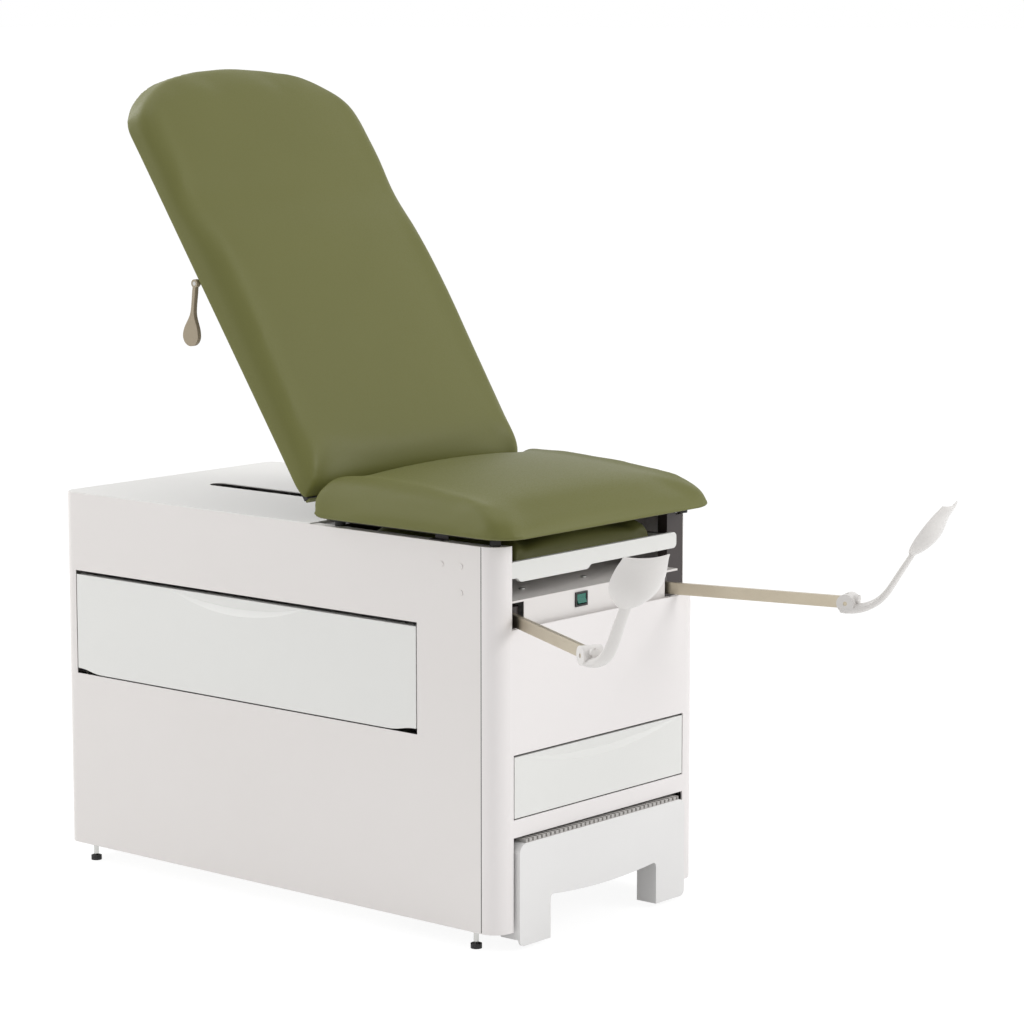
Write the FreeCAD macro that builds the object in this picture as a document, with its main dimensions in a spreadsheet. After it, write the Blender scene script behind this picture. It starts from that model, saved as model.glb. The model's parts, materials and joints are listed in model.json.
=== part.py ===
import FreeCAD, Part
import math
import os
import re
import Sketcher
from FreeCAD import Placement, Rotation, Vector

# Driving sizes of the table in millimetres and degrees.
# X runs to the foot end, the drawer side is -Y, Z is up and the floor is Z = 0.
sizes = {
    # cabinet
    "cab_length": 1132,
    "cab_width": 590,
    "floor_gap": 36,
    "panel_height": 707,
    "sheet": 2,
    "corner_radius": 37,
    "rear_radius": 24,
    "rear_flange": 30,
    "top_flange": 24,
    "bottom_flange": 34,
    "seam": 0.3,
    "fascia_wall": 3,
    "post_width": 42,
    "post_return": 10,
    "post_round": 45,
    "fascia_top": 591,
    "upright_depth": 22,
    "upright_width": 26,
    "upright_front": 528,
    "shelf_low": 376,
    "bulkhead_x": 118,
    "step_bay": 316,
    "upstand": 165,
    "deck_front": 109,
    "deck_lip": 14,
    "slot_width": 40,
    "slot_y": -32,
    "slot_rear": -411,
    "slot_front": 96,
    "beam_height": 51,
    "beam_depth": 38,
    "cross_low": 600,
    "cross_height": 25,
    "cross_x": 62,
    "plug_radius": 5,
    "plug_height": 1.5,
    "plug_x": 435,
    "plug_z": 703,
    "plug_pitch": 46,
    "plug_drop": 48,
    # levelling feet
    "foot_rear_x": -513,
    "foot_front_x": 496,
    "foot_y": 271,
    "pad_radius": 10.5,
    "pad_height": 9,
    "stem_radius": 5,
    "nut_height": 6,
    "nut_radius": 9,
    "thread_gap": 0.05,
    # seat and back
    "bumper_radius": 10,
    "bumper_height": 11,
    "board": 10,
    "wrap": 6.5,
    "seat_rear": 140,
    "seat_length": 467,
    "seat_half": 320,
    "board_inset": 30,
    "seat_corner": 62,
    "seat_back_corner": 10,
    "seat_roll": 12,
    "seat_fall": 128,
    "seat_crown": 80,
    "seat_crest": 168,
    "seat_sink": 9,
    "end_share": 0.86,
    "nose_share": 0.3,
    "bumper_front": 543,
    "bumper_rear": 166,
    "bumper_y": 272,
    "bracket_x": 403,
    "bracket_length": 30,
    "bracket_foot": 20,
    "bracket_ledge": 16,
    "pillow_edge": 54,
    "pillow_crown": 72,
    "pillow_tuck": 8,
    "pillow_brow": 58,
    "end_roll": 42,
    "heel_roll": 60,
    "heel_share": 0.42,
    "hinge_x": 131,
    "hinge_rise": 47,
    "hinge_gap": 12,
    "hinge_y": 200,
    "hinge_plate": 5,
    "hinge_eye": 7.5,
    "pin_radius": 5,
    "running_gap": 0.05,
    "back_tilt": 56,
    "back_length": 943,
    "head_arch": 150,
    "neck_at": 620,
    "neck_dip": 9,
    "lumbar_rise": 10,
    "leaf_reach": 80,
    "leaf_drop": 43,
    # gas spring and release bar
    "strut_reach": 510,
    "strut_drop": 50,
    "anchor_x": 80,
    "anchor_z": 660,
    "tube_radius": 14,
    "tube_length": 380,
    "rod_radius": 5,
    "eye_radius": 11,
    "eye_width": 14,
    "rod_inside": 60,
    "bore_depth": 215,
    "shaft_reach": 490,
    "shaft_drop": 37.5,
    "shaft_radius": 4,
    "trip_length": 10,
    "bearing_y": 190,
    "paddle_y": 303,
    "paddle_thick": 9,
    "paddle_length": 100,
    "paddle_bulb": 20,
    "paddle_neck": 3.5,
    "paddle_ring": 8,
    "bearing_wall": 2.6,
    "bearing_length": 14,
    "groove_depth": 3.2,
    "clevis_half_length": 12,
    "clevis_cheek": 4,
    "anchor_half_length": 16,
    "paddle_angle": 41,
    # drawers
    "side_open_x": -532.5,
    "side_open_length": 907.5,
    "side_open_low": 382,
    "side_open_height": 207,
    "front_open_half": 248.5,
    "front_open_low": 243,
    "front_open_height": 119,
    "drawer_gap": 2.5,
    "drawer_top_gap": 8,
    "front_top_gap": 4,
    "drawer_front": 16,
    "drawer_wall": 3,
    "side_box_depth": 450,
    "side_box_height": 165,
    "front_box_depth": 390,
    "front_box_height": 88,
    "lip_depth": 7,
    "lip_drop": 22,
    "side_lip_length": 364,
    "lip_margin": 15,
    "notch_width": 70,
    "notch_height": 8,
    "slide_height": 18,
    "slide_width": 6,
    "slide_gap": 0.3,
    # step
    "step_half": 243,
    "step_front": 576,
    "step_depth": 276,
    "step_low": 9,
    "step_top": 199,
    "step_wall": 4,
    "step_leg": 87,
    "step_arch": 90,
    "step_arch_radius": 8,
    "step_arch_sag": 8,
    "step_corner": 18,
    "step_toe": 12,
    "step_skirt": 40,
    "step_foot": 46,
    "step_open_top": 210,
    "tread_height": 7,
    "tread_base": 1,
    "tread_pitch": 12.5,
    "tread_groove": 5,
    # leg rest
    "tray_half": 230,
    "tray_front": 552,
    "tray_depth": 388,
    "tray_low": 688,
    "tray_sheet": 3,
    "tray_wall": 16,
    "bezel_half": 243,
    "bezel_low": 680,
    "bezel_height": 30,
    "bezel_depth": 8,
    "bezel_end": 9,
    "pull_start": -217,
    "pull_length": 200,
    "pull_drop": 8,
    "pull_slope": 9,
    "rest_pad_half": 208,
    "rest_pad_length": 368,
    "rest_pad_edge": 44,
    "rest_pad_crown": 55,
    "rest_roll": 30,
    # stirrups and switch
    "housing_rear": 330,
    "housing_front": 554,
    "housing_low": 582,
    "housing_height": 58,
    "housing_foot": 54,
    "hole_inner": 206,
    "hole_outer": 246,
    "pivot_x": 528,
    "pivot_y": 217,
    "arm_z": 605,
    "bar_height": 22,
    "bar_thick": 9,
    "arm_tail": 45,
    "block_radius": 17,
    "block_base": 585,
    "block_height": 42,
    "slot_play": 0.3,
    "near_splay": -28.6,
    "far_splay": 14.2,
    "hub_reach": 384,
    "hub_radius": 17,
    "hub_half": 19,
    "fork_play": 3.8,
    "cup_pin": 4,
    "cap_radius": 9,
    "cap_length": 9,
    "cap_seat": 12.5,
    "cap_rise": 6,
    "cap_notch": 3,
    "neck_back": 10,
    "neck_dive": 8,
    "neck_bend": 94,
    "neck_turn": 57,
    "neck_run": 86,
    "neck_wide": 11,
    "neck_thick": 5,
    "neck_veer": 10,
    "cup_angle": 54,
    "cup_length": 122,
    "cup_wide": 99,
    "cup_hollow": 24,
    "cup_wall": 3.5,
    "cup_shift": 7,
    "cup_rim": 3,
    "cup_curl": 3,
    "switch_y": -45,
    "switch_z": 620,
    "switch_width": 34,
    "switch_height": 27,
    "switch_tilt": -10,
    "inlet_y": 190,
    "inlet_z": 110,
    "inlet_width": 50,
    "inlet_height": 28,
    "inlet_depth": 22,
    "screw_x": 483,
    "screw_y": 128,
    "screw_far_y": 50,
    "screw_radius": 6,
    "screw_height": 2.5,
}

doc = FreeCAD.newDocument("examination_table")
sheet = doc.addObject("Spreadsheet::Sheet", "Sizes")
for row, (alias, value) in enumerate(sizes.items(), 1):
    sheet.set("A%d" % row, alias)
    sheet.set("B%d" % row, str(value))
    sheet.setAlias("B%d" % row, alias)
doc.recompute()

nodes = {}
word = re.compile(r"[A-Za-z_][A-Za-z_0-9]*")


def bound(text):
    return word.sub(lambda found: "Sizes." + found.group(0), text)


def num(text):
    plain = word.sub(lambda found: "(%r)" % float(sizes[found.group(0)]), text)
    return FreeCAD.Units.parseQuantity(plain).Value


def place(item, at):
    for axis, text in zip("xyz", at):
        item.setExpression("Placement.Base." + axis, bound(text))
    return item


def node(name, item):
    item.Label = name
    nodes[name] = item
    return item


def box(name, low, size):
    item = doc.addObject("Part::Box", name)
    for side, text in zip(("Length", "Width", "Height"), size):
        item.setExpression(side, bound(text))
    return place(item, low)


turns = {
    "x": Rotation(Vector(0, 1, 0), 90),
    "y": Rotation(Vector(1, 0, 0), -90),
    "z": Rotation(),
}


def rod(name, base, radius, length, axis="z"):
    item = doc.addObject("Part::Cylinder", name)
    item.setExpression("Radius", bound(radius))
    item.setExpression("Height", bound(length))
    item.Placement = Placement(Vector(), turns[axis])
    return place(item, base)


def group(name, *members):
    item = doc.addObject("Part::Compound", name)
    item.Links = list(members)
    return item


def fuse(name, *members):
    item = doc.addObject("Part::MultiFuse", name)
    item.Shapes = list(members)
    return item


def cut(name, base, *tools):
    item = doc.addObject("Part::Cut", name)
    item.Base = base
    item.Tool = tools[0] if len(tools) == 1 else group(name + "_tools", *tools)
    return item


def mirror(name, source):
    item = doc.addObject("Part::Mirroring", name)
    item.Source = source
    item.Normal = Vector(0, 1, 0)
    return item


def pair(name, near):
    return group(name, near, mirror(name + "_far", near))


def plane_of(body, role):
    return [plane for plane in body.Origin.OriginFeatures if plane.Role == role][0]


def sketch_on(body, role, lift):
    sketch = body.newObject("Sketcher::SketchObject", body.Name + "_sketch")
    sketch.AttachmentSupport = [(plane_of(body, role), "")]
    sketch.MapMode = "FlatFace"
    sketch.setExpression("AttachmentOffset.Base.z", bound(lift))
    return sketch


def arc_between(start, end, radius, left):
    chord = end - start
    across = Vector(-chord.y, chord.x, 0).normalize()
    rise = math.sqrt(max(radius ** 2 - (chord.Length / 2) ** 2, 0))
    centre = (start + end) * 0.5 + across * (rise if left else -rise)
    first, last = (start, end) if left else (end, start)
    begin = math.atan2(first.y - centre.y, first.x - centre.x)
    finish = math.atan2(last.y - centre.y, last.x - centre.x)
    if finish < begin:
        finish += 2 * math.pi
    circle = Part.Circle(centre, Vector(0, 0, 1), radius)
    return Part.ArcOfCircle(circle, begin, finish)


def outline(sketch, points):
    # A point is (x, y), or (x, y, radius, turn) where an arc arrives at it.
    places = [Vector(num(point[0]), num(point[1]), 0) for point in points]
    ends = []
    for index, point in enumerate(points):
        start = places[index - 1]
        end = places[index]
        left = len(point) == 2 or point[3] == "left"
        if len(point) == 2:
            sketch.addGeometry(Part.LineSegment(start, end))
        else:
            sketch.addGeometry(arc_between(start, end, num(point[2]), left))
        ends.append((1, 2) if left else (2, 1))
    for index, point in enumerate(points):
        after = (index + 1) % len(points)
        tip = ends[index][1]
        sketch.addConstraint(Sketcher.Constraint("Coincident", index, tip, after, ends[after][0]))
        for kind, text, axis in (("DistanceX", point[0], -2), ("DistanceY", point[1], -1)):
            if num(text) == 0:
                sketch.addConstraint(Sketcher.Constraint("PointOnObject", index, tip, axis))
            else:
                drive(sketch, Sketcher.Constraint(kind, index, tip, num(text)), text)
        if len(point) > 2:
            drive(sketch, Sketcher.Constraint("Radius", index, num(point[2])), point[2])
    return sketch


def drive(sketch, constraint, text):
    index = sketch.addConstraint(constraint)
    sketch.renameConstraint(index, "size%d" % index)
    sketch.setExpression("Constraints.size%d" % index, bound(text))


def pad(body, role, points, length, back=False, lift="0"):
    feature = body.newObject("PartDesign::Pad", body.Name + "_pad")
    feature.Profile = outline(sketch_on(body, role, lift), points)
    feature.setExpression("Length", bound(length))
    feature.Reversed = back
    body.Tip = feature
    return feature


def profile(name, role, points, length, at, back=False):
    body = doc.addObject("PartDesign::Body", name)
    pad(body, role, points, length, back)
    return place(body, at)


def rectangle(left, low, right, high):
    return [(left, low), (right, low), (right, high), (left, high)]


def solid(name, shape):
    item = doc.addObject("Part::Feature", name)
    item.Shape = shape
    return item


half_length = "cab_length / 2"
half_width = "cab_width / 2"
top = "(floor_gap + panel_height)"
floor_top = "(floor_gap + sheet)"
seat_low = "(floor_gap + panel_height + bumper_height + board)"
hinge_z = "(floor_gap + panel_height + hinge_rise)"
upright_inner = "(cab_width / 2 - top_flange - upright_width)"

# Side panels: bent sheets with a rear bend and flanges along the top and bottom.
panel_run = "(cab_length - corner_radius - seam)"
rim = "(rear_radius + rear_flange)"
panel_body = profile("panel_blank", "XY_Plane", [
    (panel_run, "0"),
    (panel_run, "sheet"),
    ("rear_radius", "sheet"),
    ("sheet", "rear_radius", "rear_radius - sheet", "right"),
    ("sheet", rim),
    ("0", rim),
    ("0", "rear_radius"),
    ("rear_radius", "0", "rear_radius", "left"),
], "panel_height", ("-cab_length / 2", "-cab_width / 2", "floor_gap"))
pad(panel_body, "XY_Plane", rectangle("rear_radius", "sheet", panel_run, "top_flange"),
    "sheet", lift="panel_height - sheet")
pad(panel_body, "XY_Plane", rectangle("rear_radius", "sheet", panel_run, "bottom_flange"),
    "sheet")


def at_feet(name, radius, low, height):
    spots = ["foot_rear_x", "foot_front_x"]
    return group(name, *[rod(name + spot, (spot, "-foot_y", low), radius, height) for spot in spots])


panel = cut("panel_with_foot_holes", panel_body,
            at_feet("foot_holes", "stem_radius + thread_gap", "floor_gap - sheet", "3 * sheet"))
side_opening = box("side_opening", ("side_open_x", "-cab_width / 2 - sheet", "side_open_low"),
                   ("side_open_length", "3 * sheet", "side_open_height"))
node("drawer_side_panel", cut("drawer_side_panel", panel, side_opening))
node("plain_side_panel", mirror("plain_side_panel", panel))

plug_spots = [
    ("plug_x", "plug_z"),
    ("plug_x + plug_pitch", "plug_z"),
    ("plug_x + plug_pitch", "plug_z - plug_drop"),
]
node("panel_plugs", group("panel_plugs", *[
    rod("plug_%d" % index, (spot[0], "-cab_width / 2 - plug_height", spot[1]),
        "plug_radius", "plug_height", "y")
    for index, spot in enumerate(plug_spots)]))

# Rear panel with the power inlet in its lower corner.
rear_sheet = box("rear_sheet", ("-cab_length / 2 + sheet",
                                "-cab_width / 2 + rear_radius + sheet", "floor_gap"),
                 ("sheet", "cab_width - 2 * rear_radius - 2 * sheet", "panel_height"))
inlet_hole = box("inlet_hole", ("-cab_length / 2", "inlet_y", "inlet_z"),
                 ("4 * sheet", "inlet_width - 4", "inlet_height - 4"))
node("rear_panel", cut("rear_panel", rear_sheet, inlet_hole))
inlet_flange = box("inlet_flange", ("-cab_length / 2", "inlet_y - 2", "inlet_z - 2"),
                   ("sheet", "inlet_width", "inlet_height"))
inlet_block = box("inlet_block", ("-cab_length / 2", "inlet_y + 6", "inlet_z"),
                  ("inlet_depth", "inlet_width - 16", "inlet_height - 4"))
inlet_well = box("inlet_well", ("-cab_length / 2 - 1", "inlet_y + 10", "inlet_z + 3"),
                 ("inlet_depth - 5", "inlet_width - 24", "inlet_height - 10"))
inlet_pins = [box("inlet_pin_%d" % index, ("-cab_length / 2 + 4", place_y, place_z),
                  ("inlet_depth - 8", "2", "4"))
              for index, (place_y, place_z) in enumerate((("inlet_y + 14", "inlet_z + 7"),
                                                          ("inlet_y + 22", "inlet_z + 12"),
                                                          ("inlet_y + 30", "inlet_z + 7")))]
node("power_inlet", fuse("power_inlet",
                         cut("inlet_socket", fuse("inlet_outer", inlet_flange, inlet_block), inlet_well),
                         *inlet_pins))

# Inner structure.
pan_length = "(cab_length - rear_radius - sheet - step_bay)"
pan_front = "(cab_length / 2 - step_bay)"
node("base_pan", profile("base_pan", "XZ_Plane", [
    ("0", "0"),
    (pan_length, "0"),
    (pan_length, "upstand"),
    (pan_length + " - sheet", "upstand"),
    (pan_length + " - sheet", "sheet"),
    ("0", "sheet"),
], "cab_width - 2 * sheet",
    ("-cab_length / 2 + rear_radius + sheet", "-cab_width / 2 + sheet", floor_top), True))
node("drawer_shelf", box(
    "drawer_shelf", ("-cab_length / 2 + rear_radius + sheet", "-cab_width / 2 + sheet", "shelf_low"),
    ("cab_length / 2 - rear_radius - sheet + upright_front - upright_depth",
     "cab_width - 2 * sheet", "sheet")))
node("centre_bulkhead", box(
    "centre_bulkhead", ("bulkhead_x", "-cab_width / 2 + sheet", "floor_gap + 2 * sheet"),
    ("sheet", "cab_width - 2 * sheet", "shelf_low - floor_gap - 2 * sheet")))
node("hinge_beam", box("hinge_beam", ("hinge_x - beam_depth / 2", "-cab_width / 2 + sheet",
                                      top + " - sheet - beam_height"),
                       ("beam_depth", "cab_width - 2 * sheet", "beam_height")))
upright = profile("near_upright", "XY_Plane", [
    ("0", "0"),
    ("upright_depth", "0"),
    ("upright_depth", "upright_width"),
    ("0", "upright_width"),
    ("0", "upright_width - sheet"),
    ("upright_depth - sheet", "upright_width - sheet"),
    ("upright_depth - sheet", "sheet"),
    ("0", "sheet"),
], "panel_height - 2 * sheet",
    ("upright_front - upright_depth", "-cab_width / 2 + top_flange", floor_top))
wing = box("near_wing", ("upright_front - sheet", "-cab_width / 2 + sheet + seam", floor_top),
           ("sheet", "top_flange - sheet - seam", "panel_height - 4 * sheet"))
node("front_uprights", pair("front_uprights", fuse("winged_upright", upright, wing)))

# Front fascia: one wrapped sheet with the drawer, step and upper openings. Its near corner
# goes up to the deck and its far corner stops, rounded off, at the upper opening.
bend = "corner_radius"
bend_in = "(corner_radius - fascia_wall)"
far_y = "cab_width"
fascia_body = profile("fascia_blank", "XY_Plane", [
    (bend, bend, bend, "left"),
    (bend, far_y + " - " + bend),
    ("0", far_y, bend, "left"),
    ("0", far_y + " - fascia_wall"),
    (bend_in, far_y + " - " + bend, bend_in, "right"),
    (bend_in, bend),
    ("0", "fascia_wall", bend_in, "right"),
    ("0", "0"),
], "panel_height", ("cab_length / 2 - corner_radius", "-cab_width / 2", "floor_gap"))
gusset = "panel_height - fascia_wall"
pad(fascia_body, "XY_Plane", [
    (bend_in, bend, bend_in, "left"),
    (bend_in, "post_width"),
    ("0", "post_width"),
    ("0", "fascia_wall"),
], "fascia_wall", lift=gusset)
fascia_deep = "cab_length / 2 - corner_radius - 1"
fascia_cut = "corner_radius + 2"
upper_opening = box("upper_opening", (fascia_deep, "-cab_width / 2 + post_width", "fascia_top"),
                    (fascia_cut, "cab_width - 2 * post_width", "panel_height"))
drawer_opening = box("drawer_opening", (fascia_deep, "-front_open_half", "front_open_low"),
                     (fascia_cut, "2 * front_open_half", "front_open_height"))
step_opening = box("step_opening", (fascia_deep, "-front_open_half", "0"),
                   (fascia_cut, "2 * front_open_half", "step_open_top"))
far_cut_width = "(post_width + 2 * fascia_wall)"
far_corner = profile("far_corner", "YZ_Plane", [
    (far_cut_width + " - post_round", "post_round"),
    (far_cut_width, "0", "post_round", "right"),
    (far_cut_width + " + fascia_wall", "0"),
    (far_cut_width + " + fascia_wall", "panel_height"),
    ("0", "panel_height"),
    ("0", "post_round"),
], fascia_cut, (fascia_deep, "cab_width / 2 - " + far_cut_width, "fascia_top - post_round"))
fascia_shell = cut("fascia_shell", fascia_body, upper_opening, drawer_opening, step_opening, far_corner)
post_return = box("post_return", (
    "cab_length / 2 - fascia_wall - post_return", "-cab_width / 2 + post_width - 2.5", "fascia_top"),
    ("post_return", "2.5", top + " - fascia_top"))
node("front_fascia", fuse("front_fascia", fascia_shell, post_return))

# Top deck with the slot for the gas spring.
deck_run = "(cab_length / 2 + deck_front - sheet)"
deck_wide = "(cab_width - 2)"
deck_body = profile("deck_plate", "XY_Plane", [
    (deck_run, "0"),
    (deck_run, deck_wide),
    ("rear_radius", deck_wide),
    ("0", deck_wide + " - rear_radius", "rear_radius", "left"),
    ("0", "rear_radius"),
    ("rear_radius", "0", "rear_radius", "left"),
], "sheet", ("-cab_length / 2 + sheet", "-cab_width / 2 + 1", top))
deck_flange = box("deck_flange",
                  ("deck_front - sheet", "-cab_width / 2 + top_flange + 3", top + " - deck_lip"),
                  ("sheet", "cab_width - 2 * top_flange - 6", "deck_lip"))
slot = fuse("slot",
            box("slot_run", ("slot_rear + slot_width / 2", "slot_y - slot_width / 2", top + " - sheet"),
                ("slot_front - slot_rear - slot_width", "slot_width", "3 * sheet")),
            rod("slot_rear_end", ("slot_rear + slot_width / 2", "slot_y", top + " - sheet"),
                "slot_width / 2", "3 * sheet"),
            rod("slot_front_end", ("slot_front - slot_width / 2", "slot_y", top + " - sheet"),
                "slot_width / 2", "3 * sheet"))
node("top_deck", cut("top_deck", fuse("deck_sheet", deck_body, deck_flange), slot))

# Levelling feet.
node("foot_pads", pair("foot_pads", at_feet("near_pads", "pad_radius", "0", "pad_height")))


def hexagon(name, at, radius, height):
    item = doc.addObject("Part::Prism", name)
    item.Polygon = 6
    item.setExpression("Circumradius", bound(radius))
    item.setExpression("Height", bound(height))
    return place(item, at)


def levelling_stem(spot):
    shank = rod("shank_" + spot, (spot, "-foot_y", "pad_height"), "stem_radius", floor_top + " - pad_height")
    collar = hexagon("collar_" + spot, (spot, "-foot_y", "floor_gap - nut_height"),
                     "nut_radius", "nut_height")
    return fuse("stem_" + spot, shank, collar)


near_stems = group("near_stems", levelling_stem("foot_rear_x"), levelling_stem("foot_front_x"))
node("foot_stems", pair("foot_stems", near_stems))

# Seat on its board, bumpers and brackets.
node("seat_bumpers", pair("seat_bumpers", group("near_bumpers", *[
    rod(spot, (spot, "-bumper_y", top), "bumper_radius", "bumper_height")
    for spot in ("bumper_front", "bumper_rear")])))
bracket = profile("near_bracket", "YZ_Plane", [
    ("0", "0"),
    ("bracket_foot", "0"),
    ("bracket_foot", "bumper_height - sheet"),
    ("bracket_foot + bracket_ledge", "bumper_height - sheet"),
    ("bracket_foot + bracket_ledge", "bumper_height"),
    ("bracket_foot - sheet", "bumper_height"),
    ("bracket_foot - sheet", "sheet"),
    ("0", "sheet"),
], "bracket_length", ("bracket_x", "-cab_width / 2 + sheet", top))
node("seat_brackets", pair("seat_brackets", bracket))
board_half = "(seat_half - board_inset)"
board_run = "(seat_length - board_inset - 14)"
seat_board = profile("seat_board", "XY_Plane", [
    ("0", "0"),
    (board_run + " - seat_corner", "0"),
    (board_run, "seat_corner", "seat_corner", "left"),
    (board_run, "2 * " + board_half + " - seat_corner"),
    (board_run + " - seat_corner", "2 * " + board_half, "seat_corner", "left"),
    ("0", "2 * " + board_half),
], "board", ("seat_rear + 8", "-" + board_half, top + " + bumper_height"))
node("seat_board", seat_board)


def oval(gap, reach):
    # 0 at an end of a cushion, rising round a quarter ellipse to 1 at the stated reach from it.
    return math.sqrt(1 - (1 - min(gap / reach, 1)) ** 2)


def pillow(sections, low):
    # A section is (x, half width, edge height, crown height) over the flat underside.
    wires = []
    for x, half, edge, crown in sections:
        foot = half - min(sizes["pillow_tuck"], half * 0.2)
        brow = half - min(num("pillow_brow / pillow_edge") * edge, half * 0.3)
        belly = low + 0.4 * edge
        right_foot = Vector(x, foot, low)
        left_foot = Vector(x, -foot, low)
        right_brow = Vector(x, brow, low + edge)
        left_brow = Vector(x, -brow, low + edge)
        wires.append(Part.Wire([
            Part.makeLine(left_foot, right_foot),
            Part.Arc(right_foot, Vector(x, half, belly), right_brow).toShape(),
            Part.Arc(right_brow, Vector(x, 0, low + crown), left_brow).toShape(),
            Part.Arc(left_brow, Vector(x, -half, belly), left_foot).toShape(),
        ]))
    return Part.makeLoft(wires, True, False)


def stations(length, rear_reach, front_reach, middle):
    # Runs along a cushion, closer together where each end rounds over.
    rear = [rear_reach * (1 - math.cos(math.radians(turn))) for turn in (5, 20, 40, 62, 78, 90)]
    front = [length - front_reach * (1 - math.cos(math.radians(turn)))
             for turn in (90, 78, 66, 52, 36, 22, 10, 4)]
    return rear + [length * share for share in middle] + front


# Seat cushion: domed along its length, rolled over at the rear, falling away to the front
# and wrapped down over the edge of its board.
seat_sections = []
seat_middle = (0.045, 0.07, 0.11, 0.17, 0.26, 0.36, 0.5, 0.62)
for run in stations(num("seat_length"), num("seat_roll"), num("seat_fall"), seat_middle):
    gap = num("seat_length") - run
    rear_round = num("seat_back_corner") * (1 - oval(run, num("seat_back_corner")))
    front_round = num("seat_corner") * (1 - oval(gap, num("seat_corner")))
    roll = num("end_share") + (1 - num("end_share")) * oval(run, num("seat_roll"))
    fall = num("nose_share") + (1 - num("nose_share")) * oval(gap, num("seat_fall"))
    dome = num("seat_crown") - num("seat_sink") * (run / num("seat_crest") - 1) ** 2
    crown = dome * roll * fall
    seat_sections.append((num("seat_rear") + run, num("seat_half") - rear_round - front_round,
                          crown * num("pillow_edge / pillow_crown") + num("wrap"), crown + num("wrap")))
seat_pillow = solid("seat_pillow", pillow(seat_sections, num(seat_low + " - wrap")))
node("seat_cushion", cut("seat_cushion", seat_pillow, seat_board))

# Back hinge: fixed brackets with pins, and leaves on the back board.
eye_rise = "(hinge_rise + sheet)"
plate_low = top + " - sheet"
hinge_plate = profile("hinge_plate", "XZ_Plane", [
    ("0", "0"),
    ("2 * hinge_eye", "0"),
    ("2 * hinge_eye", eye_rise),
    ("hinge_eye", eye_rise + " + hinge_eye", "hinge_eye", "left"),
    ("0", eye_rise, "hinge_eye", "left"),
], "hinge_plate", ("hinge_x - hinge_eye", "-hinge_y", plate_low))
pin_bore = rod("pin_bore", ("hinge_x", "-hinge_y - 30", hinge_z), "pin_radius + running_gap", "60", "y")
node("hinge_brackets", pair("hinge_brackets", cut("near_hinge_bracket", hinge_plate, pin_bore)))
node("hinge_pins", pair("hinge_pins", rod(
    "near_pin", ("hinge_x", "-hinge_y - 15", hinge_z), "pin_radius", "19", "y")))

# Backrest, drawn lying flat about the hinge line and turned up to its raised pose.
hinge_point = Vector(num("hinge_x"), 0, num(hinge_z))
back_frame = Placement(hinge_point, Rotation(Vector(0, 1, 0), num("back_tilt")))
board_low = "(-hinge_rise + bumper_height)"
pad_low = "(-hinge_rise + bumper_height + board)"


def on_back(item, x="0", y="0", z="0"):
    item.Placement = back_frame.multiply(Placement(Vector(num(x), num(y), num(z)), Rotation()))
    return item


back_run = "(back_length - board_inset - 20)"
back_board = profile("back_board", "XY_Plane", [
    ("0", "head_arch"),
    ("head_arch", "0", "head_arch", "left"),
    (back_run, "0"),
    (back_run, "2 * " + board_half),
    ("head_arch", "2 * " + board_half),
    ("0", "2 * " + board_half + " - head_arch", "head_arch", "left"),
], "board", ())
on_back(back_board, "-hinge_gap - 4 - " + back_run, "-" + board_half, board_low)
shaft_groove = on_back(group("shaft_groove", box(
    "groove_run", ("-shaft_reach - shaft_radius - 1", "-" + board_half, board_low),
    ("2 * shaft_radius + 2", "2 * " + board_half, "groove_depth"))))
node("back_board", cut("back_board_grooved", back_board, shaft_groove))

back_sections = []
back_middle = (0.085, 0.117, 0.16, 0.22, 0.3, 0.39, 0.48, 0.55, 0.62, 0.655, 0.69, 0.76, 0.8)
for run in stations(num("back_length"), num("heel_roll"), num("head_arch"), back_middle):
    head_gap = num("back_length") - run
    half = num("seat_half") * oval(head_gap, num("head_arch")) * (0.94 + 0.06 * oval(run, num("end_roll")))
    heel = num("heel_share") + (1 - num("heel_share")) * oval(run, num("heel_roll"))
    roll = min(heel, 0.5 + 0.5 * oval(head_gap, num("end_roll")))
    neck = num("neck_dip") * math.exp(-((run - num("neck_at")) / 60) ** 2)
    lumbar = num("lumbar_rise") * math.exp(-((run - 0.44 * num("back_length")) / 190) ** 2)
    edge = (num("pillow_edge") - 4) * roll + lumbar - neck
    crown = edge + (num("pillow_crown") - num("pillow_edge")) * roll * (0.2 + 0.5 * half / num("seat_half"))
    back_sections.append((-num("hinge_gap") - run, half, edge, crown))
node("back_cushion", on_back(solid("back_cushion", pillow(back_sections, num(pad_low)))))

leaf_run = "(leaf_reach + hinge_eye)"
leaf_arm = "(leaf_drop - hinge_rise + bumper_height)"
leaf = profile("near_leaf_plate", "XZ_Plane", [
    ("0", "0"),
    (leaf_run, "0"),
    (leaf_run, "leaf_drop"),
    ("leaf_reach", "leaf_drop + hinge_eye", "hinge_eye", "left"),
    (leaf_run + " - 2 * hinge_eye", "leaf_drop", "hinge_eye", "left"),
    (leaf_run + " - 2 * hinge_eye", leaf_arm),
    ("0", leaf_arm),
], "hinge_plate", ("-leaf_reach", "-hinge_y - hinge_plate - 1", "-leaf_drop"))
leaf_bore = rod("leaf_bore", ("0", "-hinge_y - 30", "0"), "pin_radius + running_gap", "60", "y")
node("hinge_leaves", on_back(pair("hinge_leaves", cut("near_leaf", leaf, leaf_bore))))

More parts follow.
